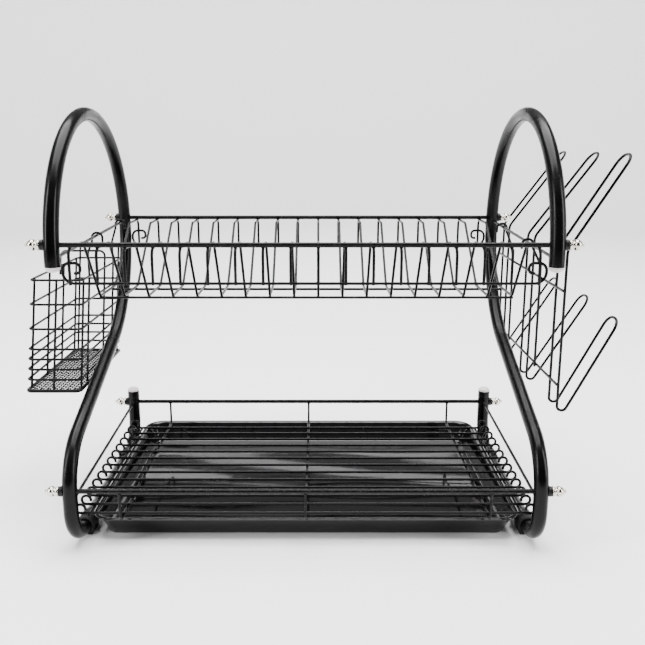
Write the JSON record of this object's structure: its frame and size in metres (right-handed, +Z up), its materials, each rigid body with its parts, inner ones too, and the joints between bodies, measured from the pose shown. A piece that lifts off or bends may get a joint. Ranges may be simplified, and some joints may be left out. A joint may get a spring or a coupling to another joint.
{
  "type": "dish drying rack",
  "caption": "Two-tier dish drying rack on S-shaped tube frames, with plate dividers, drip tray, cutlery basket and glass holder.",
  "frame": {"origin": "on the worktop, under the middle of the whole rack with its basket and glass holder", "axes": "+X along the rails to the glass holder, +Y from front to back, +Z up"},
  "size_m": [0.5354, 0.2714, 0.3808],
  "materials": {
    "black_paint": "gloss",
    "chrome": "polished",
    "black_plastic": "gloss",
    "clear_plastic": "satin",
    "foot_rubber": "matt"
  },
  "bodies": {
    "drip_tray": {"drip_tray": "black_plastic"},
    "cutlery_basket": {"basket_floor": "black_paint", "basket_front_wall": "black_paint", "basket_inner_wall": "black_paint", "basket_outer_wall": "black_paint", "basket_rear_wall": "black_paint"},
    "glass_holder": {"glass_holder": "black_paint"},
    "rack": {"cap_nut_lower_front_left": "chrome", "cap_nut_lower_front_right": "chrome", "cap_nut_lower_rear_left": "chrome", "cap_nut_lower_rear_right": "chrome", "cap_nut_upper_front_left": "chrome", "cap_nut_upper_front_right": "chrome", "cap_nut_upper_rear_left": "chrome", "cap_nut_upper_rear_right": "chrome", "end_plug_front_left": "clear_plastic", "end_plug_front_right": "clear_plastic", "end_plug_post_left": "clear_plastic", "end_plug_post_right": "clear_plastic", "low_front_wire": "black_paint", "low_rear_wire": "black_paint", "lower_front_rail": "black_paint", "lower_grid": "black_paint", "lower_rear_rail": "black_paint", "plate_divider_01": "black_paint", "plate_divider_02": "black_paint", "plate_divider_03": "black_paint", "plate_divider_04": "black_paint", "plate_divider_05": "black_paint", "plate_divider_06": "black_paint", "plate_divider_07": "black_paint", "plate_divider_08": "black_paint", "plate_divider_09": "black_paint", "plate_divider_10": "black_paint", "plate_divider_11": "black_paint", "plate_divider_12": "black_paint", "plate_divider_13": "black_paint", "plate_divider_14": "black_paint", "plate_divider_15": "black_paint", "plate_divider_16": "black_paint", "plate_divider_17": "black_paint", "plate_divider_18": "black_paint", "rack_floor_wire_front": "black_paint", "rack_floor_wire_rear": "black_paint", "rubber_foot_front_left": "foot_rubber", "rubber_foot_front_right": "foot_rubber", "rubber_foot_rear_left": "foot_rubber", "rubber_foot_rear_right": "foot_rubber", "saddle_washer_lower_front_left": "black_plastic", "saddle_washer_lower_front_right": "black_plastic", "saddle_washer_lower_rear_left": "black_plastic", "saddle_washer_lower_rear_right": "black_plastic", "saddle_washer_upper_front_left": "black_plastic", "saddle_washer_upper_front_right": "black_plastic", "saddle_washer_upper_rear_left": "black_plastic", "saddle_washer_upper_rear_right": "black_plastic", "side_frame_left": "black_paint", "side_frame_right": "black_paint", "upper_front_rail": "black_paint", "upper_rear_rail": "black_paint"}
  },
  "joints": [
    {"name": "tray_slide", "type": "slide", "parent": "rack", "child": "drip_tray", "axis": [0, -1, 0], "range_m": [0, 0.2]},
    {"name": "basket_lift", "type": "slide", "parent": "rack", "child": "cutlery_basket", "axis": [0, 0, 1], "range_m": [0, 0.03]},
    {"name": "holder_lift", "type": "slide", "parent": "rack", "child": "glass_holder", "axis": [0, 0, 1], "range_m": [0, 0.03]}
  ]
}
